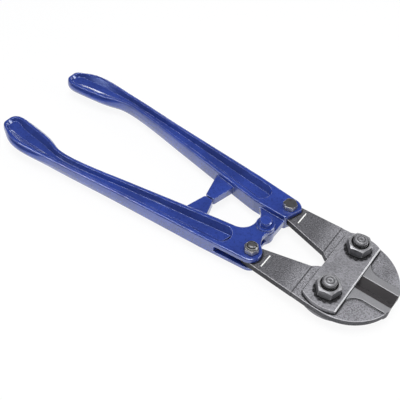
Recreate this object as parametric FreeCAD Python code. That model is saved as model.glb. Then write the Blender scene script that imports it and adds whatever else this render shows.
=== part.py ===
import FreeCAD, Part
import math
import os

# Arm-adjusted centre-cut bolt cutters, 18 inch class, closed, lying flat.
# All sizes in millimetres. Nose toward +X, left handle on +Y, +Z up, Z = 0 at the lowest point.

# ---- driving dimensions ------------------------------------------------------------------
total_length = 464.0          # butt ends to nose
grip_centre_y = 57.8          # middle of each palm swell from the long axis
nose_to_jaw_bolt = 54.0       # nose back to the jaw bolts
jaw_bolt_y = 29.0             # each jaw bolt from the long axis
jaw_bolt_to_arm = 80.2        # jaw bolts back to the arm pivots
arm_y = 34.4                  # each arm pivot from the long axis
arm_to_centre = 6.8           # arm pivots back to the centre pin

# handles
head_half = 9.4               # half thickness of the forged head
butt_half = 6.0               # half thickness at the butt end
head_back = 51.0              # arm pivots back to where the shank begins
head_outer_y = 51.7           # outer edge of the handle there
head_inner_y = 22.2           # inner edge of the handle there
left_lobe_r = 12.2            # rounded end of the left head
right_lobe_r = 11.8           # rounded end of the right head
left_wall_y = 19.2            # inner wall of the left head
left_wall_back = 33.8         # arm pivots back to where that wall turns toward the shank
centre_lobe_r = 10.0          # ears round the centre pin
tongue_r = 10.5               # round end of the tongue between the ears
edge_round = 1.5              # rounding of the forged top edges
front_hollow_r = 16.0         # hollow of the right head between its two lobes
rear_hollow_r = 16.0          # hollow behind the centre pin
slot_back = 34.3              # arm pivots back to the outer end of the slots
slot_floor_y = 21.9           # inner side of the left slot, above the root of the tongue
channel_share = 0.58          # share of the half thickness taken by the flute in each face
channel_head = 25.0           # arm pivots back to the round end of the flute
channel_wall_head = 5.5       # run of the flute's sloping wall near the head
channel_wall_grip = 3.0       # and from the neck to the butt
rim_head = 4.5                # rim beside the flute near the head
rim_grip = 3.8                # rim beside the flute from the neck to the butt
dish_outer_run = 3.5          # more run of the dished wall in the palm swell, outer side
dish_inner_run = 3.0          # and inner side
flute_end = 4.0               # butt end to the end of the flute
lug_half = 4.8                # half thickness of the stop lugs
lug_gap = 0.6                 # daylight between the two lug tips, closed
lug_meet_y = -2.6             # where the two tips meet; the left lug reaches past the middle
lug_back = 88.6               # arm pivots back to the front of the lug root
lug_root = 27.0               # length of the lug root
lug_tip = 10.4                # length of the lug tip
lug_root_y = 33.0             # lug root from the long axis, inside the handle
lug_tip_round = 3.0           # rounding of the tip's upright corners
lug_edge_round = 1.0          # rounding of the lug's top and bottom edges

# jaws
tail_half = 3.9               # half thickness of the jaw tails
face_half = 3.7               # half thickness where the plates and nose faces lie
land_half = 5.4               # half thickness at the ground land beside the edge
tail_lobe_r = 10.3            # rounded tail end inside the fork
tail_edge_round = 0.8         # rounding of the tail's contour
face_edge_round = 1.0         # and of the nose's contour
land_edge_round = 0.5         # and of the land's outer side
jaw_outer_y = 48.4            # outer contour abreast of the jaw bolts
nose_half_y = 11.4            # flat of the nose, half width
edge_gap = 0.4                # daylight between the closed cutting edges
edge_flat = 0.35              # half height of the blunt cutting edge
bevel_y = 8.2                 # bevel run across
land_y = 15.6                 # outer side of the land
step_front = 26.2             # jaw bolts back to the step of the plate seat
index_len = 15.6              # raised index line across each tail
index_back = 64.2             # jaw bolts back to the index line
index_high = 0.22             # its height
index_half = 0.6              # half its width
index_inner_y = 9.2           # arm pivot in to its inner end

# side plates
plate_thick = 5.0             # each side plate
plate_back = 18.0             # jaw bolts back to the rear edge
plate_front = 16.8            # jaw bolts forward to the front edge
plate_corner_y = 43.3         # corner from the long axis
plate_bulge = 3.9             # how far the round end stands past the corners
plate_front_bevel = 1.2       # ground along the front edge
plate_edge_bevel = 0.5        # and round the other edges

# fasteners
jaw_bolt_r = 7.0              # M14
jaw_bolt_af = 21.0            # across the flats of its head and nut
jaw_head_high = 7.5
jaw_nut_high = 10.8
jaw_bolt_out = 4.6            # end standing out of the nut
star_ring_r = 11.6            # root of the star washer's teeth
star_tip_r = 13.3             # and their tips
star_thick = 1.4
star_teeth = 15
arm_bolt_r = 4.0              # M8
arm_bolt_af = 13.0            # across the flats of its head and nut
arm_head_high = 5.3
arm_nut_high = 8.0
arm_bolt_out = 1.0
seat_face = 0.4               # thin round collar under heads and nuts
collar_share = 0.93           # its radius, as a share of half the width across the flats
face_share = 0.94             # radius of the flat top face, likewise
pin_r = 4.5                   # centre pin shank
pin_head_r = 6.4
pin_head_high = 5.6
washer_r = 9.4
washer_thick = 1.6
lock_ring_wall = 1.1          # nylon ring captive in the lock nut
lock_ring_high = 1.7
lock_collar_high = 2.2        # plain collar of the lock nut that holds it
jaw_thread_pitch = 2.0
arm_thread_pitch = 1.25

# clearances
side_gap = 0.3                # between faces that slide past each other
run_gap = 0.05                # radial, pins turning in their bores
bolt_gap = 0.10               # radial, bolts standing in holes of their own body
tongue_play = 3.0             # radial, centre pin in the oversize bore of the tongue
star_gap = 0.25               # radial, star washer round its bolt
ring_gap = 0.04               # radial, nylon ring round the thread
pocket_gap = 0.02             # radial, nylon ring in its collar

# ---- derived positions -------------------------------------------------------------------
nose_x = total_length / 2.0
butt_x = -total_length / 2.0
jaw_x = nose_x - nose_to_jaw_bolt
arm_x = jaw_x - jaw_bolt_to_arm
centre_x = arm_x - arm_to_centre
shank_x = arm_x - head_back
slot_half = tail_half + side_gap
lock_ring_r = arm_bolt_r + lock_ring_wall
plate_low = face_half + side_gap
plate_high = plate_low + plate_thick
low_point = head_half + arm_nut_high + arm_bolt_out
V = FreeCAD.Vector
UP = V(0, 0, 1)


def outline(start, *steps):
    """Closed flat face of lines to (x, y) and of arcs to ("arc", x, y) that leave the step
    before them smoothly; ("through", x1, y1, x2, y2) is an arc through one point to another."""
    edges, here, heading = [], V(start[0], start[1], 0), V(1, 0, 0)
    for step in steps + (start,):
        kind = step[0] if isinstance(step[0], str) else "line"
        end = V(step[-2], step[-1], 0)
        chord = end - here
        if chord.Length < 1e-6:
            continue
        if kind == "line":
            edges.append(Part.LineSegment(here, end).toShape())
            heading = V(chord).normalize()
        else:
            if kind == "arc":
                lean = math.atan2(heading.x * chord.y - heading.y * chord.x, heading.dot(chord))
                way = turn(heading, lean / 2.0)
                mid = here + way * (chord.Length / 2.0 / math.cos(lean / 2.0))
            else:
                mid = V(step[1], step[2], 0)
            arc = Part.Arc(here, mid, end)
            edges.append(arc.toShape())
            radial = end - edges[-1].Curve.Center
            heading = V(-radial.y, radial.x, 0).normalize()
            if heading.dot(end - mid) < 0:
                heading = heading * -1
        here = end
    return Part.Face(Part.Wire(edges))


def turn(vector, angle):
    return V(vector.x * math.cos(angle) - vector.y * math.sin(angle),
             vector.x * math.sin(angle) + vector.y * math.cos(angle), 0)


def slab(face, low, high):
    return face.translated(V(0, 0, low)).extrude(V(0, 0, high - low))


def mirror_y(shape):
    return shape.mirror(V(0, 0, 0), V(0, 1, 0))


def mirror_z(shape):
    return shape.mirror(V(0, 0, 0), V(0, 0, 1))


def on_arc(centre, radius, degrees):
    a = math.radians(degrees)
    return (centre[0] + radius * math.cos(a), centre[1] + radius * math.sin(a))


def clean(shape):
    shape = shape.removeSplitter()
    return shape.Solids[0] if len(shape.Solids) == 1 else shape


def round_edges(shape, radius, wanted):
    edges = [e for e in shape.Edges if wanted(e)]
    return shape.makeFillet(radius, edges)


# ---- handle shank, drawn for the left side -------------------------------------------------
# stations from the head to the butt: share of the shank's length, share of the way out to
# the grip's middle line, full width at the parting line, inset of the top face from that line.
# Both edges run straight from HEAD_END to NECK, then in one curve through GRIP.
HEAD_END = (0.0, 0.0, 29.5, 0.0)
NECK = (0.360, 0.597, 21.4, 0.4)
GRIP = [(0.600, 1.000, 17.6, 0.6), (0.677, 1.068, 18.8, 0.8), (0.713, 1.062, 22.0, 1.4),
        (0.745, 1.024, 27.0, 2.2), (0.788, 0.978, 32.5, 3.0), (0.842, 0.947, 36.0, 3.3),
        (0.896, 0.887, 36.3, 3.0), (0.932, 0.803, 33.8, 2.4), (0.971, 0.690, 27.4, 1.8)]
BUTT_FLAT = 16.0              # width of the flat at the butt end
BUTT_INSET = 1.2              # top face set back from the butt end
FLUTE_NOSE = 0.42             # how far the flute's round head end bulges, as a share of its width

head_centre_y = (head_outer_y + head_inner_y) / 2.0
shank_length = shank_x - butt_x


def half_at(x):
    """Half thickness of the handle, tapering from the head to the butt."""
    return head_half + (butt_half - head_half) * (shank_x - x) / shank_length


def sides(station, inset_share, cut_out, cut_in):
    share, out, width, inset = station
    x = shank_x - share * shank_length
    mid = head_centre_y + out * (grip_centre_y - head_centre_y)
    half = width / 2.0 - inset * inset_share
    return (x, mid + half - cut_out), (x, mid - half + cut_in)


def ring(head, neck, grip, tip_x, tip_mid, tip_half, height, round_head):
    """Closed wire: straight sides from head to neck, one curve round the grip."""
    outer = [neck[0]] + [pair[0] for pair in grip]
    inner = [pair[1] for pair in reversed(grip)] + [neck[1]]
    tip = [(tip_x, tip_mid + tip_half), (tip_x, tip_mid - tip_half)]
    lift = [V(x, y, height(x)) for x, y in outer + tip + inner]
    start, finish = [V(p[0], p[1], height(p[0])) for p in head]
    curve = Part.BSplineCurve()
    curve.interpolate(Points=lift, InitialTangent=lift[0] - start, FinalTangent=finish - lift[-1])
    edges = [Part.LineSegment(start, lift[0]).toShape(), curve.toShape(),
             Part.LineSegment(lift[-1], finish).toShape()]
    if round_head:
        far = start.x + (start.y - finish.y) * FLUTE_NOSE
        edges.append(Part.Arc(finish, V(far, (start.y + finish.y) / 2.0, height(far)), start).toShape())
    else:
        edges.append(Part.LineSegment(finish, start).toShape())
    return Part.Wire(edges)


def shank_wire(level, inset_share, cut):
    def place(station):
        return sides(station, inset_share, cut, cut)

    mid = (place(GRIP[-1])[0][1] + place(GRIP[-1])[1][1]) / 2.0
    return ring(place(HEAD_END), place(NECK), [place(s) for s in GRIP],
                butt_x + BUTT_INSET * inset_share + cut, mid, BUTT_FLAT / 2.0 - cut * 0.4,
                lambda x: level * half_at(x), False)


def shank_body():
    r = edge_round / head_half
    flank = Part.makeLoft([shank_wire(0.0, 0.0, 0.0), shank_wire(0.5, 0.36, 0.0),
                           shank_wire(1.0 - r, 1.0, 0.0)], True, False)
    crown = Part.makeLoft([shank_wire(1.0 - r, 1.0, 0.0), shank_wire(1.0 - 0.5 * r, 1.0, 0.134 * edge_round),
                           shank_wire(1.0 - 0.134 * r, 1.0, 0.5 * edge_round),
                           shank_wire(1.0, 1.0, edge_round)], True, False)
    half = flank.fuse(crown)
    return half.fuse(mirror_z(half))


def flute_wire(level):
    """Outline of the flute, from level 0 in the top face to level 1 at its floor."""
    def place(station, rim, wall, out_extra, in_extra):
        cut = rim + wall * level
        return sides(station, 1.0, cut + out_extra * level, cut + in_extra * level)

    dish = [0.0, 0.0, 0.15, 0.45, 0.80, 1.0, 0.95, 0.6, 0.0]
    grip = [place(s, rim_grip, channel_wall_grip, dish_outer_run * d, dish_inner_run * d)
            for s, d in zip(GRIP, dish)]
    neck = place(NECK, rim_grip, channel_wall_grip, 0.0, 0.0)
    head = place(HEAD_END, rim_head, channel_wall_head, 0.0, 0.0)
    straight = arm_x - channel_head - FLUTE_NOSE * (head[0][1] - head[1][1])
    reach = (straight - shank_x) / (shank_x - neck[0][0])
    head = [(straight, end[1] + (end[1] - far[1]) * reach) for end, far in zip(head, neck)]
    mid = (grip[-1][0][1] + grip[-1][1][1]) / 2.0
    return ring(head, neck, grip[:-1], butt_x + flute_end + 2.0 * level, mid, 6.0 - 1.5 * level,
                lambda x: half_at(min(x, arm_x)) * (1.0 - channel_share * level), True)


def flute_tool():
    return Part.makeLoft([flute_wire(-0.25), flute_wire(1.0)], True, True)


def lug(tip_y):
    back = arm_x - lug_back
    tip_back = back + (lug_root - lug_tip) / 2.0 + 0.6
    body = slab(outline((back, lug_root_y), (tip_back, tip_y), (tip_back + lug_tip, tip_y),
                        (back + lug_root - 1.0, lug_root_y - 9.0), (back + lug_root + 4.0, lug_root_y)),
                -lug_half, lug_half)
    body = round_edges(body, lug_tip_round,
                       lambda e: e.BoundBox.ZLength > 1 and e.BoundBox.YMax < tip_y + 0.1)
    return round_edges(body, lug_edge_round,
                       lambda e: e.BoundBox.ZLength < 1e-3 and e.BoundBox.YMin < lug_root_y - 0.1)


def hollow_at(lobe, lobe_r, other, radius, side):
    """Centre of a hollow of `radius` that runs smoothly into a lobe and into a second lobe
    (x, y, r) or a straight edge (two points, metal on its left)."""
    if isinstance(other[0], tuple):
        (ax, ay), (bx, by) = other
        long = math.hypot(bx - ax, by - ay)
        ux, uy = (bx - ax) / long, (by - ay) / long
        sx, sy = ax + uy * radius - lobe[0], ay - ux * radius - lobe[1]
        dot = sx * ux + sy * uy
        reach = math.sqrt(dot ** 2 - sx ** 2 - sy ** 2 + (lobe_r + radius) ** 2)
        way = -dot + side * reach
        return (lobe[0] + sx + way * ux, lobe[1] + sy + way * uy)
    far = math.hypot(other[0] - lobe[0], other[1] - lobe[1])
    ux, uy = (other[0] - lobe[0]) / far, (other[1] - lobe[1]) / far
    along = ((lobe_r + radius) ** 2 - (other[2] + radius) ** 2 + far ** 2) / (2.0 * far)
    out = side * math.sqrt((lobe_r + radius) ** 2 - along ** 2)
    return (lobe[0] + along * ux + out * uy, lobe[1] + along * uy - out * ux)


def touch(centre, radius, toward):
    far = math.hypot(toward[0] - centre[0], toward[1] - centre[1])
    return (centre[0] + radius * (toward[0] - centre[0]) / far,
            centre[1] + radius * (toward[1] - centre[1]) / far)


def top_edges_past(x):
    return lambda e: (e.BoundBox.ZLength < 1e-3 and abs(abs(e.BoundBox.ZMin) - head_half) < 1e-3
                      and e.BoundBox.XMax > x + 0.01)


def left_head():
    p = (arm_x, arm_y)
    corner_x = arm_x + 4.4
    face = outline((shank_x, head_outer_y), on_arc(p, left_lobe_r, 85.5),
                   ("arc",) + on_arc(p, left_lobe_r, 20),
                   (corner_x + 0.7, left_wall_y + 2.0),
                   ("arc", corner_x - 1.4, left_wall_y),
                   (arm_x - left_wall_back, left_wall_y + 0.3), (shank_x, head_inner_y))
    slot = slab(outline((arm_x - slot_back, 70.0), (arm_x - slot_back, head_outer_y),
                        (arm_x - 17.0, slot_floor_y), (arm_x + 20.0, slot_floor_y), (arm_x + 20.0, 70.0)),
                -slot_half, slot_half)
    ears = slab(face, -head_half, head_half).cut(slot)
    ears = round_edges(ears, edge_round, top_edges_past(shank_x))
    lobe = (centre_x, 0.0)
    root_y = slot_floor_y - 0.9
    tongue = slab(outline((centre_x + tongue_r, root_y), (centre_x + tongue_r, 0.0),
                          ("through",) + on_arc(lobe, tongue_r, -90) + on_arc(lobe, tongue_r, 163),
                          ("through", centre_x - 13.0, 12.0, centre_x - 22.5, root_y)),
                  -tail_half, tail_half)
    return ears.fuse(tongue)


def right_head_left_handed():
    """Right head drawn on the +Y side; it is mirrored across afterwards."""
    p = (arm_x - 0.9, arm_y + 0.4)
    lobe = (centre_x, 0.0)
    front = hollow_at(lobe, centre_lobe_r, (p[0], p[1], right_lobe_r), front_hollow_r, 1)
    start, end = (shank_x, head_inner_y), (arm_x - left_wall_back, left_wall_y + 0.3)
    rear = hollow_at(lobe, centre_lobe_r, (start, end), rear_hollow_r, -1)
    long = math.hypot(end[0] - start[0], end[1] - start[1])
    foot = (rear[0] - rear_hollow_r * (end[1] - start[1]) / long,
            rear[1] + rear_hollow_r * (end[0] - start[0]) / long)
    face = outline((shank_x, head_outer_y), on_arc(p, right_lobe_r, 85.5),
                   ("through",) + on_arc(p, right_lobe_r, 20) + touch(p, right_lobe_r, front),
                   ("arc",) + touch(lobe, centre_lobe_r, front),
                   ("through",) + on_arc(lobe, centre_lobe_r, -90) + touch(lobe, centre_lobe_r, rear),
                   ("arc",) + foot, start)
    inner_x = centre_x - tongue_r - 6.5
    slot = slab(outline((arm_x - slot_back, 70.0), (arm_x - slot_back, head_outer_y),
                        (inner_x, 16.0), (inner_x, -16.0), (arm_x + 20.0, -16.0), (arm_x + 20.0, 70.0)),
                -slot_half, slot_half)
    ears = slab(face, -head_half, head_half).cut(slot)
    return round_edges(ears, edge_round, top_edges_past(shank_x))


def bore(x, y, radius):
    return Part.makeCylinder(radius, 80.0, V(x, y, -40.0))


shank = shank_body()
flute = flute_tool()
seam_blend = 0.02             # the head's rounded edge and the shank's are one edge where they meet


def finish_handle(head, lug_tip_y, shape_bores):
    body = shank.fuse(lug(lug_tip_y)).fuse([head], seam_blend)
    body = body.cut(flute).cut(mirror_z(flute))
    box = Part.makeBox(total_length, 200, 60, V(butt_x, -100, -30))
    body = body.common(box)
    for x, y, radius in shape_bores:
        body = body.cut(bore(x, y, radius))
    return clean(body)


left_handle = finish_handle(left_head(), lug_meet_y + lug_gap / 2.0,
                            [(arm_x, arm_y, arm_bolt_r + bolt_gap),
                             (centre_x, 0.0, pin_r + tongue_play)])
right_handle = mirror_y(finish_handle(right_head_left_handed(), -lug_meet_y + lug_gap / 2.0,
                                      [(arm_x, arm_y, arm_bolt_r + bolt_gap),
                                       (centre_x, 0.0, pin_r + bolt_gap)]))


# ---- jaws, drawn for the left side ---------------------------------------------------------
def jaw():
    p = (arm_x, arm_y)
    g = edge_gap / 2.0
    step_x = jaw_x - step_front
    whole = outline(on_arc(p, tail_lobe_r, 91.5), (jaw_x - 12.0, jaw_outer_y - 0.2),
                    ("arc", jaw_x + 6.0, jaw_outer_y), ("arc", nose_x - 0.4, nose_half_y + 1.0),
                    (nose_x, nose_half_y), (nose_x, g), (jaw_x + 2.0, g), (jaw_x - 10.0, 3.0),
                    (jaw_x - 19.0, 5.6), ("arc", jaw_x - 23.4, 8.0), (jaw_x - 26.5, 10.4),
                    on_arc(p, tail_lobe_r, 255.5),
                    ("through",) + on_arc(p, tail_lobe_r, 180) + on_arc(p, tail_lobe_r, 91.5))
    big = 400.0
    behind = Part.makeBox(big, big, 60, V(step_x - big, -big / 2, -30))
    ahead = Part.makeBox(big, big, 60, V(step_x, -big / 2, -30))

    def contour(e, half):
        b = e.BoundBox
        if b.ZLength > 1e-3 or abs(abs(b.ZMin) - half) > 1e-3:
            return False
        return b.XMax > step_x + 1 if half == face_half else True

    tail = slab(whole, -tail_half, tail_half)
    tail = round_edges(tail, tail_edge_round, lambda e: contour(e, tail_half)).common(behind)
    front = slab(whole, -face_half, face_half)
    front = round_edges(front, face_edge_round,
                        lambda e: contour(e, face_half) and e.BoundBox.YMax > nose_half_y + 1.0
                        and e.BoundBox.YMin > 5.0).common(ahead)
    front_x = jaw_x + plate_front + side_gap
    land = outline((front_x, g), (nose_x, g), (nose_x, nose_half_y), (nose_x - 1.6, land_y),
                   (jaw_x + 31.0, land_y), ("arc", front_x, land_y + 9.0))
    land = slab(land, -land_half, land_half)
    land = round_edges(land, land_edge_round,
                       lambda e: e.BoundBox.ZLength < 1e-3 and e.BoundBox.YMin > land_y - 1.0)
    body = tail.fuse(front).fuse(land)
    slope = (land_half - edge_flat) / (bevel_y - g)
    over = 1.5
    section = [(g - over, edge_flat), (g, edge_flat), (bevel_y + over, land_half + over * slope),
               (g - over, land_half + over * slope), (g - over, edge_flat)]
    bevel_x = jaw_x + 3.0
    bevel = Part.Face(Part.makePolygon([V(bevel_x, y, z) for y, z in section])).extrude(V(big, 0, 0))
    body = body.cut(bevel).cut(mirror_z(bevel))
    line_x = jaw_x - index_back
    low_y = arm_y - index_inner_y
    high_y = low_y + index_len
    mark = slab(outline((line_x - index_half, low_y), (line_x + index_half, low_y),
                        (line_x + index_half, high_y), (line_x - index_half, high_y)),
                tail_half - 0.5, tail_half + index_high)
    body = body.fuse(mark)
    body = body.cut(bore(arm_x, arm_y, arm_bolt_r + run_gap))
    body = body.cut(bore(jaw_x, jaw_bolt_y, jaw_bolt_r + run_gap))
    return clean(body)


left_jaw = jaw()
right_jaw = mirror_y(left_jaw)


# ---- side plates -----------------------------------------------------------------------------
def side_plate():
    back, front = jaw_x - plate_back, jaw_x + plate_front
    mid = (back + front) / 2.0
    far = plate_corner_y + plate_bulge
    face = outline((back, -plate_corner_y + 1.0), ("through", mid, -far, front, -plate_corner_y),
                   (front, plate_corner_y), ("through", mid, far, back, plate_corner_y - 1.0))
    body = slab(face, plate_low, plate_high)
    front_edges = [e for e in body.Edges if e.BoundBox.ZMin > plate_high - 1e-3
                   and e.BoundBox.XLength < 1e-3 and e.BoundBox.XMin > front - 0.1]
    body = body.makeChamfer(plate_front_bevel, front_edges)
    rest = [e for e in body.Edges if e.BoundBox.ZMin > plate_high - 1e-3
            and not (e.BoundBox.XLength < 1e-3 and e.BoundBox.XMin > mid)]
    body = body.makeChamfer(plate_edge_bevel, rest)
    for y in (jaw_bolt_y, -jaw_bolt_y):
        body = body.cut(bore(jaw_x, y, jaw_bolt_r + bolt_gap))
    return clean(body)


top_side_plate = side_plate()
bottom_side_plate = mirror_z(top_side_plate)


# ---- fasteners -------------------------------------------------------------------------------
thread_share = 0.55           # depth of the thread, as a share of its pitch


def turned(points):
    """Solid of revolution about Z from (radius, height) points."""
    loop = [V(r, 0, z) for r, z in points]
    return Part.Face(Part.makePolygon(loop + [loop[0]])).revolve(V(0, 0, 0), UP, 360)


def hexagon(across, high, twist):
    corners = [on_arc((0, 0), across / math.sqrt(3), twist + 60 * k) for k in range(7)]
    return Part.Face(Part.makePolygon([V(x, y, 0) for x, y in corners])).extrude(V(0, 0, high))


def hex_body(across, high, twist, round_low):
    """Hexagon standing on Z = 0 over a thin seat collar, corners turned off at 30 degrees."""
    corner = across / math.sqrt(3)
    flat = across / 2.0
    drop = (corner - face_share * flat) * math.tan(math.radians(30))
    low = seat_face + (drop if round_low else 0.0)
    shape = turned([(0, seat_face), (face_share * flat if round_low else corner + 1, seat_face),
                    (corner + 0.01, low), (corner + 0.01, high - drop), (face_share * flat, high), (0, high)])
    body = hexagon(across, high, twist).common(shape)
    collar_r = collar_share * flat
    return body.fuse(turned([(0, 0), (collar_r, 0), (collar_r, seat_face), (0, seat_face)]))


def threaded_end(radius, pitch, low, high):
    """Rod end with thread grooves and a domed tip."""
    depth = thread_share * pitch
    pts = [(0, low), (radius, low)]
    z = low + 0.4 * pitch
    while z + pitch < high - 0.9:
        pts += [(radius, z), (radius - depth, z + 0.5 * pitch), (radius, z + pitch)]
        z += pitch * 1.02
    pts += [(radius, high - 1.0), (radius - 0.9, high - 0.25), (0.45 * radius, high), (0, high)]
    return turned(pts)


def jaw_bolt():
    head = hex_body(jaw_bolt_af, jaw_head_high, 12.0, False)
    head = mirror_z(head).translated(V(0, 0, -plate_high))
    nut_top = plate_high + star_thick + jaw_nut_high
    shank_part = Part.makeCylinder(jaw_bolt_r, nut_top - 3.0 + plate_high + 2.0, V(0, 0, -plate_high - 2.0))
    tip = threaded_end(jaw_bolt_r, jaw_thread_pitch, nut_top - 3.0, nut_top + jaw_bolt_out)
    return clean(head.fuse(shank_part).fuse(tip))


def nut(across, high, hole, twist):
    body = hex_body(across, high, twist, True)
    body = body.cut(Part.makeCylinder(hole, high + 2, V(0, 0, -1)))
    mouth = turned([(0, high - 0.8), (hole, high - 0.8), (hole + 0.9, high + 0.1), (0, high + 0.1)])
    return clean(body.cut(mouth))


def star_washer():
    """External teeth, each twisted a little so that its corners bite."""
    hole_r = jaw_bolt_r + star_gap
    thin = 0.15               # ring and teeth lie this much inside the seat's faces
    low, high = thin, star_thick - thin
    seat_r = star_ring_r - 1.4
    body = turned([(hole_r, low), (hole_r, 0), (seat_r, 0), (seat_r, low), (star_ring_r, low),
                   (star_ring_r, high), (seat_r, high), (seat_r, star_thick), (hole_r, star_thick),
                   (hole_r, high)])
    pitch = 360.0 / star_teeth

    def section(radius, spread, tilt):
        near = on_arc((0, 0), radius, -spread * pitch)
        far = on_arc((0, 0), radius, spread * pitch)
        loop = [V(near[0], near[1], low), V(far[0], far[1], low + tilt), V(far[0], far[1], high),
                V(near[0], near[1], high - tilt)]
        return Part.Wire(Part.makePolygon(loop + [loop[0]]))

    tooth = Part.makeLoft([section(star_ring_r - 0.6, 0.36, 0.0), section(star_tip_r, 0.24, 0.35)],
                          True, True)
    teeth = []
    for k in range(star_teeth):
        teeth.append(tooth.rotated(V(0, 0, 0), UP, k * pitch))
    return clean(body.multiFuse(teeth))


def arm_bolt():
    """Head up; the right one is turned over."""
    head = hex_body(arm_bolt_af, arm_head_high, 20.0, False).translated(V(0, 0, head_half))
    low = -head_half - arm_nut_high - arm_bolt_out
    rod = Part.makeCylinder(arm_bolt_r, head_half * 2 + 5.0, V(0, 0, -head_half - 4.0))
    tip = mirror_z(threaded_end(arm_bolt_r, arm_thread_pitch, head_half + 3.0, -low))
    return clean(head.fuse(rod).fuse(tip))


def lock_nut():
    """Lock nut hanging under the handle: hexagon, then a plain collar that holds the ring."""
    hex_high = arm_nut_high - lock_collar_high
    body = hex_body(arm_bolt_af, hex_high, 8.0, True)
    collar_r = collar_share * arm_bolt_af / 2.0
    collar = turned([(0, hex_high - 1.0), (collar_r, hex_high - 1.0), (collar_r, arm_nut_high - 0.9),
                     (collar_r - 0.9, arm_nut_high), (0, arm_nut_high)])
    body = body.fuse(collar)
    body = body.cut(Part.makeCylinder(arm_bolt_r + bolt_gap, 20, V(0, 0, -5)))
    pocket = Part.makeCylinder(lock_ring_r + pocket_gap, 5, V(0, 0, arm_nut_high - lock_ring_high - 0.2))
    body = body.cut(pocket)
    return mirror_z(clean(body)).translated(V(0, 0, -head_half))


def lock_ring():
    low = arm_nut_high - lock_ring_high - 0.2
    high = low + lock_ring_high
    inner_r = arm_bolt_r + ring_gap
    body = turned([(inner_r, low + 0.3), (inner_r + 0.3, low), (lock_ring_r, low),
                   (lock_ring_r, high - 0.4), (lock_ring_r - 0.4, high), (inner_r + 0.3, high),
                   (inner_r, high - 0.4)])
    return mirror_z(body).translated(V(0, 0, -head_half))


def centre_pin():
    top = head_half + washer_thick
    return clean(turned([(0, -top - pin_head_high), (pin_head_r - 0.9, -top - pin_head_high),
                         (pin_head_r, -top - pin_head_high + 0.9), (pin_head_r, -top), (pin_r, -top),
                         (pin_r, top), (pin_head_r, top), (pin_head_r, top + pin_head_high - 0.9),
                         (pin_head_r - 0.9, top + pin_head_high), (0, top + pin_head_high)]))


def centre_washer():
    low, high = head_half, head_half + washer_thick
    return turned([(pin_r + bolt_gap, low), (washer_r, low), (washer_r, high - 0.35),
                   (washer_r - 0.35, high), (pin_r + bolt_gap, high)])


jaw_bolt_body = jaw_bolt()
jaw_nut_body = nut(jaw_bolt_af, jaw_nut_high, jaw_bolt_r + bolt_gap, 10.0)
star_body = star_washer()
left_bolt = arm_bolt()
left_nut = lock_nut()
left_ring = lock_ring()

placed = {
    "left_handle": left_handle,
    "right_handle": right_handle,
    "left_jaw": left_jaw,
    "right_jaw": right_jaw,
    "top_side_plate": top_side_plate,
    "bottom_side_plate": bottom_side_plate,
    "centre_pin": centre_pin().translated(V(centre_x, 0, 0)),
    "top_centre_washer": centre_washer().translated(V(centre_x, 0, 0)),
    "bottom_centre_washer": mirror_z(centre_washer()).translated(V(centre_x, 0, 0)),
    "left_pivot_bolt": left_bolt.translated(V(arm_x, arm_y, 0)),
    "left_pivot_nut": left_nut.translated(V(arm_x, arm_y, 0)),
    "left_locking_ring": left_ring.translated(V(arm_x, arm_y, 0)),
    "right_pivot_bolt": mirror_z(left_bolt).translated(V(arm_x, -arm_y, 0)),
    "right_pivot_nut": mirror_z(left_nut).translated(V(arm_x, -arm_y, 0)),
    "right_locking_ring": mirror_z(left_ring).translated(V(arm_x, -arm_y, 0)),
}
for side, y in (("left", jaw_bolt_y), ("right", -jaw_bolt_y)):
    placed[side + "_jaw_bolt"] = jaw_bolt_body.translated(V(jaw_x, y, 0))
    placed[side + "_jaw_nut"] = jaw_nut_body.translated(V(jaw_x, y, plate_high + star_thick))
    placed[side + "_star_washer"] = star_body.translated(V(jaw_x, y, plate_high))

os.makedirs("parts", exist_ok=True)
for name in sorted(placed):
    shape = placed[name].translated(V(0, 0, low_point))
    if len(shape.Solids) != 1 or not shape.isValid():
        print("look at", name, "solids", len(shape.Solids), "valid", shape.isValid())
    shape = shape.Solids[0]
    shape.exportStep("parts/" + name + ".step")
    b = shape.BoundBox
    print("%-22s x %7.2f %7.2f  y %7.2f %7.2f  z %6.2f %6.2f  vol %9.1f" % (
        name, b.XMin, b.XMax, b.YMin, b.YMax, b.ZMin, b.ZMax, shape.Volume))
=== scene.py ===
import math

import bpy
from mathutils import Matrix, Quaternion, Vector


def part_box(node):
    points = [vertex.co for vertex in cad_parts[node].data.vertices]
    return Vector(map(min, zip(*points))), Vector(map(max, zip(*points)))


# Looks of the centre-cut bolt cutters. Metres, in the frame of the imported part.
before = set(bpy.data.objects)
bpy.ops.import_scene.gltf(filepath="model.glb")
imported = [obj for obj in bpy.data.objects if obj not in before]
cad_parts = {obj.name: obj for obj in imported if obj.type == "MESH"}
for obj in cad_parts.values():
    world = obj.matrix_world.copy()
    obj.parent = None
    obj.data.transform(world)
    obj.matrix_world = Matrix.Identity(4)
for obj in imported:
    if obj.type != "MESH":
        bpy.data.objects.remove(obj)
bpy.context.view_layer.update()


# ---- forged handles ------------------------------------------------------------------------
# Two drop-forged steel levers, dipped in blue enamel after the forks were milled. The enamel lies
# thick and glossy and keeps the waviness of the forging. Along the sharp rims the colour carries a
# painted highlight of pale lilac, and on the sloping flanks and in the corners a painted shade.
ENAMEL = (0.025, 0.054, 0.300, 1.0)
# painted highlight, pale lilac, laid along the sharp rims
ENAMEL_PAINTED_HIGHLIGHT = (0.420, 0.480, 0.880, 1.0)
ENAMEL_POOLED = (0.008, 0.020, 0.140, 1.0)
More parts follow.
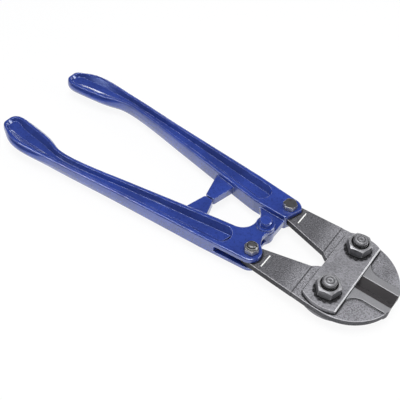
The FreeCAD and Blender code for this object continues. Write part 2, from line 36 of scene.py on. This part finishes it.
# painted shade for the sloping flanks and the corners
ENAMEL_PAINTED_SHADE = (0.004, 0.009, 0.060, 1.0)
ENAMEL_GLOSS = (0.45, 0.58, 1.0, 1.0)
ENAMEL_CORNER = 0.0009          # rounding that it gives the forging's corners
FORGING_WAVE = 0.014            # the waves of the forging under it, across
FORGING_SWING = 0.00026         # and in height
ENAMEL_CLOUD = 0.030            # patches where it pools, across
ENAMEL_SPECK = 0.0022
PEEL = 0.0013                   # the orange peel of its surface, across
PEEL_SWING = 0.000036
RIM_STRETCH = 0.005             # lengths over which the painted highlight on a rim shows and breaks off again
RIM_REACH = 1.4                 # how far a rim reaches, in corner roundings
CORNER_SAMPLES = 6              # rays that feel for a corner
CREVICE_SAMPLES = 8             # and for a crevice


class Wire:
    """An output socket of a material's nodes, so that shader maths reads as plain expressions."""

    def __init__(self, tree, socket=None):
        self.tree = tree
        self.socket = socket

    def node(self, kind, settings=None, sockets=None, out=0):
        """Adds any node: its type, its settings, then the values or links of its sockets."""
        made = self.tree.nodes.new("ShaderNode" + kind)
        for name, value in (settings or {}).items():
            setattr(made, name, value)
        for name, value in (sockets or {}).items():
            if isinstance(value, Wire):
                self.tree.links.new(value.socket, made.inputs[name])
            else:
                made.inputs[name].default_value = value
        return Wire(self.tree, made.outputs[out] if made.outputs else None)

    def maths(self, operation, *others):
        """A Math node on this value and the others."""
        return self.node("Math", {"operation": operation}, dict(enumerate((self,) + others)))

    def part(self, axis):
        """One coordinate of a vector."""
        return self.node("SeparateXYZ", None, {0: self}, out=axis)

    def __add__(self, other):
        return self.maths("ADD", other)

    def __sub__(self, other):
        return self.maths("SUBTRACT", other)

    def __rsub__(self, other):
        return self.node("Math", {"operation": "SUBTRACT"}, {0: other, 1: self})

    def __mul__(self, other):
        return self.maths("MULTIPLY", other)

    def __or__(self, other):
        """Where either of two masks is 1."""
        return self.maths("MAXIMUM", other)

    def __abs__(self):
        return self.maths("ABSOLUTE")

    __radd__ = __add__
    __rmul__ = __mul__


def new_finish(name):
    """A new node material, and the bare wire that its nodes grow from."""
    made = bpy.data.materials.new(name)
    made.use_nodes = True
    made.node_tree.nodes.clear()
    return made, Wire(made.node_tree)


def close_finish(base, sockets):
    """Ends a material in a Principled shader with these values and wires."""
    base.node("OutputMaterial", None, {"Surface": base.node("BsdfPrincipled", None, sockets)})


def coat(pieces, finish):
    """Gives carried-over pieces their finish."""
    for piece in pieces:
        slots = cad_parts[piece].data.materials
        slots.clear()
        slots.append(finish)


def ramp(value, low, high):
    """0 below low, 1 above high, smooth between them."""
    return value.node("MapRange", {"interpolation_type": "SMOOTHSTEP"},
                      {"Value": value, "From Min": low, "From Max": high})


def fade(value, low, high):
    """1 below low, 0 above high, smooth between them."""
    return 1.0 - ramp(value, low, high)


def band(value, rise, fall):
    """1 between a rise and a fall, each given by where it starts and ends."""
    return ramp(value, *rise) * fade(value, *fall)


def noise(place, size, detail=2.0, roughness=0.5):
    """Cloudy noise whose patches are about `size` metres across, 0 to 1."""
    return place.node("TexNoise", None, {"Vector": place, "Scale": 1.0 / size, "Detail": detail,
                                         "Roughness": roughness}, out="Fac")


def tint(shade, over, mask, share=1.0):
    """The colour `over` laid on `shade` where the mask is 1, as strongly as the share says."""
    return mask.node("Mix", {"data_type": "RGBA"}, {0: mask * share, 6: shade, 7: over}, out=2)


def level_of(base):
    """1 where the surface lies level, 0 where it stands on edge."""
    return abs(base.node("NewGeometry", out="Normal").part("Z"))


def edge_of(base, radius, low, high):
    """1 on corners sharper than the radius, 0 on the flats."""
    rounded = base.node("Bevel", {"samples": CORNER_SAMPLES}, {"Radius": radius})
    plain = base.node("NewGeometry", out="Normal")
    match = base.node("VectorMath", {"operation": "DOT_PRODUCT"}, {0: rounded, 1: plain}, out="Value")
    return ramp(1.0 - match, low, high)


def crevice(base, reach, low, high):
    """1 where the surface is shut in by other metal closer than `reach`, 0 in the open."""
    open_air = base.node("AmbientOcclusion", {"samples": CREVICE_SAMPLES}, {"Distance": reach}, out="AO")
    return ramp(1.0 - open_air, low, high)


def bumped(base, height, corner):
    """Normal of a surface with a height in metres, its sharp corners rounded by `corner`."""
    soft = base.node("Bevel", {"samples": CORNER_SAMPLES}, {"Radius": corner})
    return base.node("Bump", None, {"Strength": 1.0, "Distance": 1.0, "Height": height, "Normal": soft})


def enamel_finish(name, corner, swing):
    """Blue enamel that rounds corners by `corner`, over forging waves `swing` high."""
    made, base = new_finish(name)
    place = base.node("TexCoord", out="Object")
    cloud = noise(place, ENAMEL_CLOUD, detail=3.0)
    speck = noise(place, ENAMEL_SPECK, detail=3.0, roughness=0.7)
    stretch = noise(place, RIM_STRETCH, detail=3.0, roughness=0.6)
    slope = band(level_of(base), rise=(0.45, 0.60), fall=(0.80, 0.95))
    rim = edge_of(base, corner * RIM_REACH, low=0.02, high=0.24)
    shade = tint(ENAMEL, ENAMEL_POOLED, ramp(cloud, low=0.35, high=0.70), share=0.50)
    shade = tint(shade, ENAMEL_POOLED, ramp(speck, low=0.50, high=0.66), share=0.60)
    # painted shade on the sloping flanks, then in the corners shut in by other metal
    shade = tint(shade, ENAMEL_PAINTED_SHADE, slope, share=0.42)
    shade = tint(shade, ENAMEL_PAINTED_SHADE, crevice(base, reach=0.005, low=0.10, high=0.75), share=0.85)
    # painted highlight: pale lilac along the sharp rims, broken up along their length
    shade = tint(shade, ENAMEL_PAINTED_HIGHLIGHT, rim * ramp(stretch, low=0.34, high=0.58))
    height = noise(place, FORGING_WAVE) * swing + noise(place, PEEL, detail=1.0) * PEEL_SWING
    close_finish(base, {
        "Base Color": shade, "Roughness": 0.17 + 0.12 * cloud, "Normal": bumped(base, height, corner),
        "IOR": 1.85, "Specular Tint": ENAMEL_GLOSS, "Coat Weight": 0.75, "Coat Roughness": 0.06,
        "Coat IOR": 1.70})
    return made


coat(("left_handle", "right_handle"), enamel_finish("blue_enamel", ENAMEL_CORNER, FORGING_SWING))


# ---- centre pin and its washers ------------------------------------------------------------
# The pin is riveted through fork and tongue before the handles are dipped, so pin and washers
# carry the same enamel. They are turned, not forged, so it lies nearly flat and rounds them less.
PIN_CORNER = 0.0005
PIN_SWING = 0.00008
coat(("centre_pin", "top_centre_washer", "bottom_centre_washer"),
     enamel_finish("blue_enamel_on_pin", PIN_CORNER, PIN_SWING))


# ---- jaws ----------------------------------------------------------------------------------
# Forged alloy-steel blades, shot blasted all over, then ground along the land and the two bevels of
# the cutting edge. The tails stay darker, and a white line is rubbed into the raised index mark. Side
# walls, crevices, the step and the foot of the land carry painted shade, and the rounded edges, bright
# from rubbing, carry a painted highlight as well.
jaw_low, jaw_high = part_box("left_jaw")
plate_low, plate_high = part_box("top_side_plate")
JAW_GREY = (0.295, 0.293, 0.315, 1.0)
JAW_DARK = (0.070, 0.069, 0.077, 1.0)
# the dark of the shot's pits, also laid as painted shade
JAW_PIT_AND_SHADE = (0.032, 0.032, 0.036, 1.0)
# bright grains, and edges bright from rubbing that are also lightened as painted highlight
JAW_WORN_AND_HIGHLIGHT = (0.560, 0.555, 0.580, 1.0)
LAND_GREY = (0.360, 0.360, 0.376, 1.0)
EDGE_GREY = (0.040, 0.037, 0.039, 1.0)
# painted shade, nearly black, in crevices, at the foot of the land and by the plates
PAINTED_SHADE_BLACK = (0.001, 0.001, 0.001, 1.0)
INDEX_WHITE = (0.85, 0.85, 0.83, 1.0)
JAW_PEBBLE = 0.0014             # the dents of the shot, across
JAW_GRIT = 0.0006
JAW_SWING = 0.00080             # and in height
GRIT_SHARE = 0.25               # height of the grit beside that of the dents
JAW_GRIME = 0.018
JAW_RIM = 0.0014
STEEL_CORNER = 0.0004
GRIND_LINES = (60.0, 2600.0, 2600.0)    # grinding marks to the metre: long ones along the jaw
GRIND_SWING = 0.00001

# Heights off the jaw's middle plane, and the outer side of the bevels off the long axis.
JAW_MIDDLE = (jaw_low.z + jaw_high.z) / 2.0
FACE_TOP = 0.0037
TAIL_TOP = 0.0039
LAND_TOP = 0.0054
BEVEL_OUTER = 0.0082

# The two ends over which each finish comes or goes, along the tool, up, or aside.
GROUND_ALONG = (plate_high.x - 0.004, plate_high.x + 0.001)     # the nose ahead of the plates
TAIL_ALONG = (plate_low.x - 0.030, plate_low.x - 0.004)         # the darker tail
INDEX_ALONG = (plate_low.x - 0.044, plate_low.x - 0.043)        # ahead of the index line
STEP_ALONG = plate_low.x - 0.0082                               # middle of the painted shade along the step
STEP_LINE = (0.0002, 0.0009)                                    # and its half width
LAND_UP = (LAND_TOP - 0.0006, LAND_TOP - 0.0002)
FOOT_UP = (FACE_TOP + 0.0001, FACE_TOP + 0.0004)                # painted shade at the foot of the land
BEVEL_UP = (LAND_TOP - 0.0003, LAND_TOP - 0.00008)
BEVEL_ASIDE = (BEVEL_OUTER - 0.0005, BEVEL_OUTER)
INDEX_UP = (TAIL_TOP + 0.00004, TAIL_TOP + 0.00012)             # low on the raised line


def blasted_skin(place, pebble, grit_size, swing):
    """Shot-blasted skin: its soft dents, its fine grit, and both as one height in metres."""
    dents = noise(place, pebble, roughness=0.55)
    grit = noise(place, grit_size, roughness=0.7)
    return dents, grit, dents * swing + grit * (swing * GRIT_SHARE)


def jaw_finish():
    """Blasted steel with ground land and bevels, painted shade and highlight, and the white index line.
    """
    made, base = new_finish("blasted_jaw_steel")
    place = base.node("TexCoord", out="Object")
    along = place.part("X")
    aside = abs(place.part("Y"))
    up = abs(place.part("Z") - JAW_MIDDLE)
    level = level_of(base)
    dents, grit, height = blasted_skin(place, JAW_PEBBLE, JAW_GRIT, JAW_SWING)
    grime = noise(place, JAW_GRIME, detail=4.0, roughness=0.6)

    ahead = ramp(along, *GROUND_ALONG)
    tail = fade(along, *TAIL_ALONG)
    step = fade(abs(along - STEP_ALONG), *STEP_LINE)
    land = ahead * ramp(up, *LAND_UP)
    foot = ahead * ramp(up, *FOOT_UP) * (1.0 - land)
    bevel = ahead * fade(up, *BEVEL_UP) * fade(aside, *BEVEL_ASIDE)
    mark = fade(along, *INDEX_ALONG) * ramp(up, *INDEX_UP)
    rim = edge_of(base, JAW_RIM, low=0.02, high=0.35)
    rounding = band(level, rise=(0.35, 0.60), fall=(0.88, 0.97))
    # darker towards the tail, and in random grime patches ahead of it
    tail_and_grime_dark = tail * 0.80 + (1.0 - tail) * ramp(grime, low=0.40, high=0.80) * 0.50
    # the bevels' own dark grey, with painted shade where the plates stand over them
    edge = tint(EDGE_GREY, PAINTED_SHADE_BLACK, crevice(base, reach=0.012, low=0.35, high=0.75))

    shade = tint(JAW_GREY, JAW_DARK, tail_and_grime_dark)
    shade = tint(shade, JAW_PIT_AND_SHADE, ramp(1.0 - dents, low=0.47, high=0.60), share=0.50)
    shade = tint(shade, JAW_WORN_AND_HIGHLIGHT, ramp(grit, low=0.56, high=0.74), share=0.45)
    # painted shade on the side walls, which stand on edge
    shade = tint(shade, JAW_PIT_AND_SHADE, fade(level, low=0.15, high=0.60), share=0.70)
    # painted shade in crevices
    shade = tint(shade, PAINTED_SHADE_BLACK, crevice(base, reach=0.003, low=0.06, high=0.34), share=0.95)
    # painted shade along the step
    shade = tint(shade, JAW_PIT_AND_SHADE, step, share=0.90)
    # rounded edges and rims bright from rubbing, lightened further as painted highlight
    shade = tint(shade, JAW_WORN_AND_HIGHLIGHT, rounding | rim, share=0.85)
    # painted shade at the foot of the land
    shade = tint(shade, PAINTED_SHADE_BLACK, foot, share=0.95)
    shade = tint(shade, tint(LAND_GREY, JAW_DARK, grit, share=0.60), land)
    shade = tint(shade, edge, bevel)
    shade = tint(shade, INDEX_WHITE, mark)

    ground = bevel | land
    lines = noise(base.node("VectorMath", {"operation": "MULTIPLY"}, {0: place, 1: GRIND_LINES}), 1.0)
    height = height * (1.0 - ground) + lines * ground * GRIND_SWING
    close_finish(base, {
        "Base Color": shade, "Metallic": (1.0 - (mark | bevel)) * (0.75 - 0.45 * rim),
        "Roughness": 0.55 - 0.10 * land - 0.45 * bevel + 0.10 * grime,
        "Normal": bumped(base, height, STEEL_CORNER)})
    return made


coat(("left_jaw", "right_jaw"), jaw_finish())


# ---- side plates ---------------------------------------------------------------------------
# Two rolled steel plates that carry both jaw bolts, blasted on the flats, with a bevel ground bright
# along the front edge. Their bevelled edges, bright from rubbing, carry a painted highlight as well,
# the front one most.
PLATE_GREY = (0.285, 0.283, 0.304, 1.0)
PLATE_BRIGHT = (0.85, 0.85, 0.86, 1.0)
PLATE_PEBBLE = 0.0018
PLATE_GRIT = 0.0007
PLATE_SWING = 0.00040
PLATE_GRIME = 0.02
EDGE_RUB_AND_HIGHLIGHT = 0.28                   # how far the bevelled edges are bright from rubbing and painted highlight
FRONT_RUB_AND_HIGHLIGHT = 0.18             # and how much further the front one
FRONT_BEVEL = (plate_high.x - 0.0022, plate_high.x - 0.0016)


def plate_finish():
    """Blasted steel whose bevels are worn bright by rubbing and painted as highlight, front one most."""
    made, base = new_finish("blasted_plate_steel")
    place = base.node("TexCoord", out="Object")
    dents, grit, height = blasted_skin(place, PLATE_PEBBLE, PLATE_GRIT, PLATE_SWING)
    grime = noise(place, PLATE_GRIME, detail=4.0, roughness=0.6)
    front = ramp(place.part("X"), *FRONT_BEVEL)
    bevelled = band(level_of(base), rise=(0.40, 0.55), fall=(0.80, 0.92))
    rub_and_highlight = bevelled * (EDGE_RUB_AND_HIGHLIGHT + FRONT_RUB_AND_HIGHLIGHT * front)
    shade = tint(PLATE_GREY, JAW_DARK, ramp(grime, low=0.40, high=0.80), share=0.50)
    shade = tint(shade, JAW_PIT_AND_SHADE, ramp(1.0 - dents, low=0.45, high=0.65), share=0.35)
    shade = tint(shade, JAW_WORN_AND_HIGHLIGHT, ramp(grit, low=0.56, high=0.74), share=0.35)
    # painted shade in crevices
    shade = tint(shade, JAW_PIT_AND_SHADE, crevice(base, reach=0.004, low=0.08, high=0.45), share=0.90)
    # bevels bright from rubbing, lightened further as painted highlight
    shade = tint(shade, PLATE_BRIGHT, rub_and_highlight)
    close_finish(base, {
        "Base Color": shade, "Metallic": 0.75 - 0.60 * rub_and_highlight,
        "Roughness": 0.50 - 0.18 * rub_and_highlight + 0.10 * grime,
        "Normal": bumped(base, height, STEEL_CORNER)})
    return made


coat(("top_side_plate", "bottom_side_plate"), plate_finish())


# ---- jaw bolts and nuts --------------------------------------------------------------------
# M14 bolts with domed ends that still show the rings of the lathe, under thick nuts chamfered on the
# face. The light and dark bands of the rings in the colour are a painted highlight of the dome as well.
# Up to just above the nuts the bolts are painted nearly black, heads and all, as painted shade where
# they enter the nuts, but for corners bright from rubbing that carry a painted highlight too. Bolts and
# nuts are painted lighter on their level faces than on their flanks, as painted light and shade.
bolt_low, bolt_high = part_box("left_jaw_bolt")
nut_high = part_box("left_jaw_nut")[1]
BOLT_GREY = (0.30, 0.30, 0.315, 1.0)
BOLT_FLANK = (0.10, 0.10, 0.106, 1.0)
NUT_GREY = (0.34, 0.34, 0.355, 1.0)
NUT_FLANK = (0.190, 0.190, 0.200, 1.0)
# corners bright from rubbing, also lightened as painted highlight
WORN_STEEL_AND_HIGHLIGHT = (0.72, 0.72, 0.73, 1.0)
# the dark of oil patches, also laid as painted shade
OIL_AND_SHADE_DARK = (0.030, 0.029, 0.030, 1.0)
OIL_FILM = 0.004
SCUFF = 0.0006
SCUFF_SWING = 0.00002
FASTENER_RIM = 0.0008
FASTENER_CORNER = 0.0003
BOLT_AXIS_X = (bolt_low.x + bolt_high.x) / 2.0
BOLT_AXIS_Y = (bolt_low.y + bolt_high.y) / 2.0
RING_PITCH = 0.0028
RING_SWING = 0.00010
BOLT_SHADE_UP = (nut_high.z + 0.0003, nut_high.z + 0.0018)  # the bolt is painted dark below, as painted shade where it enters the nut
MOUTH_SHADE = (0.0083, 0.0087)                                # painted shade within a nut's countersunk mouth, round the bolt


def off_bolt_axis(place):
    """Distance from the axis of the jaw bolt on the same side."""
    x = place.part("X") - BOLT_AXIS_X
    y = abs(place.part("Y")) - BOLT_AXIS_Y
    return (x * x + y * y).maths("SQRT")


def fastener_finish(name, face, flank, worn_and_highlight, rough, metal=0.9, rings=False, mouth=False):
    """An oiled fastener: `face` on level faces, `flank` on the sides, as painted light and shade;
    the third colour on its corners, where rubbing wore them, lightened also as painted highlight.
    """
    made, base = new_finish(name)
    place = base.node("TexCoord", out="Object")
    level = level_of(base)
    film = noise(place, OIL_FILM, detail=4.0, roughness=0.65)
    rim = edge_of(base, FASTENER_RIM, low=0.02, high=0.35)
    height = noise(place, SCUFF, roughness=0.6) * SCUFF_SWING
    # painted light and shade: level faces take one colour and flanks another, by how they face the light
    shade = tint(flank, face, ramp(level, low=0.35, high=0.80))
    shade = tint(shade, OIL_AND_SHADE_DARK, ramp(film, low=0.40, high=0.75), share=0.55)
    if rings:
        wave = (off_bolt_axis(place) * (math.tau / RING_PITCH)).maths("SINE")
        wave = wave * ramp(level, low=0.5, high=0.8)
        # the rings' dark bands between light ones copy the dome's ring reflections: painted highlight,
        # over turned rings in the bump
        shade = tint(shade, OIL_AND_SHADE_DARK, ramp(wave, low=0.0, high=0.9), share=0.65)
        height = height + wave * RING_SWING
        # painted shade: the bolt darkened below and just above the nut's top, where it enters the nut
        shade = tint(shade, OIL_AND_SHADE_DARK, fade(place.part("Z"), *BOLT_SHADE_UP))
    # corners bright from rubbing; on the steel bolts and nuts also painted highlight
    shade = tint(shade, worn_and_highlight, rim, share=0.80)
    # painted shade in crevices
    shade = tint(shade, OIL_AND_SHADE_DARK, crevice(base, reach=0.003, low=0.20, high=0.80), share=0.90)
    if mouth:
        # painted shade in the nut's mouth round the bolt
        shade = tint(shade, OIL_AND_SHADE_DARK, fade(off_bolt_axis(place), *MOUTH_SHADE))
    close_finish(base, {
        "Base Color": shade, "Metallic": metal - 0.5 * metal * rim, "Roughness": rough + 0.18 * film,
        "Normal": bumped(base, height, FASTENER_CORNER)})
    return made


coat(("left_jaw_bolt", "right_jaw_bolt"),
     fastener_finish("turned_bolt_steel", BOLT_GREY, BOLT_FLANK, WORN_STEEL_AND_HIGHLIGHT, rough=0.42, rings=True))
coat(("left_jaw_nut", "right_jaw_nut"),
     fastener_finish("nut_steel_with_painted_shade", NUT_GREY, NUT_FLANK, WORN_STEEL_AND_HIGHLIGHT, rough=0.40, mouth=True))


# ---- star washers --------------------------------------------------------------------------
# External-tooth lock washers of blackened spring steel, bitten between nut and plate. Only the
# tips of the teeth show, a little greyer where they were turned and rubbed.
SPRING_BLACK = (0.022, 0.022, 0.024, 1.0)
SPRING_WORN = (0.09, 0.09, 0.095, 1.0)
coat(("left_star_washer", "right_star_washer"),
     fastener_finish("blackened_spring_steel", SPRING_BLACK, SPRING_BLACK, SPRING_WORN, rough=0.40))


# ---- arm pivots ----------------------------------------------------------------------------
# M8 bolts of turned steel that join each jaw tail to its fork, with lock nuts that hold a black nylon
# ring round the thread. Their flanks are painted bright as a painted reflection, their faces dark as
# painted shade.
# dark level faces: painted shade
PIVOT_GREY = (0.16, 0.16, 0.17, 1.0)
# bright flanks: painted reflection
PIVOT_FLANK = (0.55, 0.55, 0.56, 1.0)
# corners bright from rubbing, also painted highlight
PIVOT_WORN_AND_HIGHLIGHT = (0.88, 0.88, 0.88, 1.0)
NYLON_BLACK = (0.010, 0.010, 0.011, 1.0)
NYLON_WORN = (0.02, 0.02, 0.022, 1.0)
coat(("left_pivot_bolt", "right_pivot_bolt", "left_pivot_nut", "right_pivot_nut"),
     fastener_finish("pivot_steel_with_painted_reflection", PIVOT_GREY, PIVOT_FLANK, PIVOT_WORN_AND_HIGHLIGHT, rough=0.28))
coat(("left_locking_ring", "right_locking_ring"),
     fastener_finish("black_nylon", NYLON_BLACK, NYLON_BLACK, NYLON_WORN, rough=0.45, metal=0.0))


# ---- floor ---------------------------------------------------------------------------------
# A plain white studio table. Its white shows in the gloss of the tool's walls, and the tool's soft
# shadow lies on it.
FLOOR_HALF = 3.0
FLOOR_WHITE = (0.88, 0.88, 0.89, 1.0)
FLOOR_GLOW = (1.0, 1.0, 1.0, 1.0)
FLOOR_SHOWN = 0.90              # share of glow where the table is seen or mirrored


def floor_finish():
    """Matt white that also glows, but only to the eye and in gloss."""
    made, base = new_finish("studio_white")
    seen = base.node("LightPath", out="Is Camera Ray")
    mirrored = base.node("LightPath", out="Is Glossy Ray")
    plain = base.node("BsdfDiffuse", None, {"Color": FLOOR_WHITE})
    glow = base.node("Emission", None, {"Color": FLOOR_GLOW, "Strength": 1.0})
    both = base.node("MixShader", None, {0: (seen | mirrored) * FLOOR_SHOWN, 1: plain, 2: glow})
    base.node("OutputMaterial", None, {"Surface": both})
    return made


floor_mesh = bpy.data.meshes.new("studio_floor")
floor_mesh.from_pydata([(-FLOOR_HALF, -FLOOR_HALF, 0), (FLOOR_HALF, -FLOOR_HALF, 0),
                        (FLOOR_HALF, FLOOR_HALF, 0), (-FLOOR_HALF, FLOOR_HALF, 0)], [], [(0, 1, 2, 3)])
floor_mesh.materials.append(floor_finish())
floor = bpy.data.objects.new("studio_floor", floor_mesh)
bpy.context.scene.collection.objects.link(floor)


# ---- light ---------------------------------------------------------------------------------
# Three soft boxes light the tool, the front one without any gloss. Two long strips give gloss alone:
# they draw thin bright lines along the rounded rims of the enamel and the steel.
def soft_box(name, place, aim, size, power, diffuse=True, gloss=True):
    """A rectangular lamp that looks from its place at its aim."""
    lamp = bpy.data.lights.new(name, "AREA")
    lamp.shape = "RECTANGLE"
    lamp.size, lamp.size_y = size
    lamp.energy = power
    box = bpy.data.objects.new(name, lamp)
    box.location = place
    box.visible_diffuse = diffuse
    box.visible_glossy = gloss
    box.rotation_euler = (Vector(aim) - Vector(place)).to_track_quat("-Z", "Y").to_euler()
    bpy.context.scene.collection.objects.link(box)


MIDDLE = (0.0, 0.0, 0.0)
soft_box("overhead_box", place=(0.10, -0.12, 1.25), aim=MIDDLE, size=(0.60, 0.60), power=12.0)
soft_box("front_box", place=(-0.60, -1.40, 0.30), aim=MIDDLE, size=(0.9, 0.25), power=4.0, gloss=False)
soft_box("rear_box", place=(1.3, 0.65, 0.55), aim=MIDDLE, size=(0.9, 0.4), power=8.0)
soft_box("edge_strip", place=(-0.45, -0.20, 1.2), aim=(-0.45, 0.0, 0.0), size=(1.6, 0.12), power=11.0,
         diffuse=False)
soft_box("back_strip", place=(-0.50, 1.10, 0.33), aim=(-0.20, 0.0, 0.0), size=(1.8, 0.12), power=5.0,
         diffuse=False)


# ---- room ----------------------------------------------------------------------------------
# A pale room round the table. It looks white to the eye, but in gloss its ceiling is dim above a
# light horizon, so that the flat tops stay deep in colour and the walls pick up the white table.
ROOM_WHITE = (0.96, 0.97, 1.0, 1.0)
ROOM_LIGHT = 0.48               # what it sheds on the tool
HORIZON_GLOSS = 0.60            # what gloss mirrors of it at the horizon
CEILING_GLOSS = 0.08            # and overhead
CEILING_UP = (0.0, 0.12)        # heights of direction over which one turns into the other
room = bpy.data.worlds.new("pale_room")
bpy.context.scene.world = room
room.use_nodes = True
room.node_tree.nodes.clear()
air = Wire(room.node_tree)
seen = air.node("LightPath", out="Is Camera Ray")
mirrored = air.node("LightPath", out="Is Glossy Ray")
ceiling = ramp(air.node("TexCoord", out="Generated").part("Z"), *CEILING_UP)
gloss_level = HORIZON_GLOSS - ceiling * (HORIZON_GLOSS - CEILING_GLOSS)
room_level = mirrored * gloss_level + (1.0 - mirrored) * ROOM_LIGHT
air.node("OutputWorld", None, {"Surface": air.node("Background", None, {
    "Color": ROOM_WHITE, "Strength": room_level | seen})})


# ---- camera --------------------------------------------------------------------------------
# A short telephoto view from over the jaws, looking down along the handles, rolled by a hair.
CAMERA_PLACE = Vector((0.27026, -0.33847, 0.50877))
CAMERA_AIM = Vector((0.00599, 0.00407, 0.0))
CAMERA_ROLL = 0.0028
FILM_WIDTH_MM = 36.0
LENS_MM = 55.58
eye = bpy.data.cameras.new("product_camera")
eye.sensor_width = FILM_WIDTH_MM
eye.lens = LENS_MM
camera = bpy.data.objects.new("product_camera", eye)
camera.location = CAMERA_PLACE
look = (CAMERA_AIM - CAMERA_PLACE).to_track_quat("-Z", "Y")
camera.rotation_euler = (look @ Quaternion((0.0, 0.0, 1.0), CAMERA_ROLL)).to_euler()
bpy.context.scene.collection.objects.link(camera)
bpy.context.scene.camera = camera
bpy.context.scene.view_settings.view_transform = "Standard"
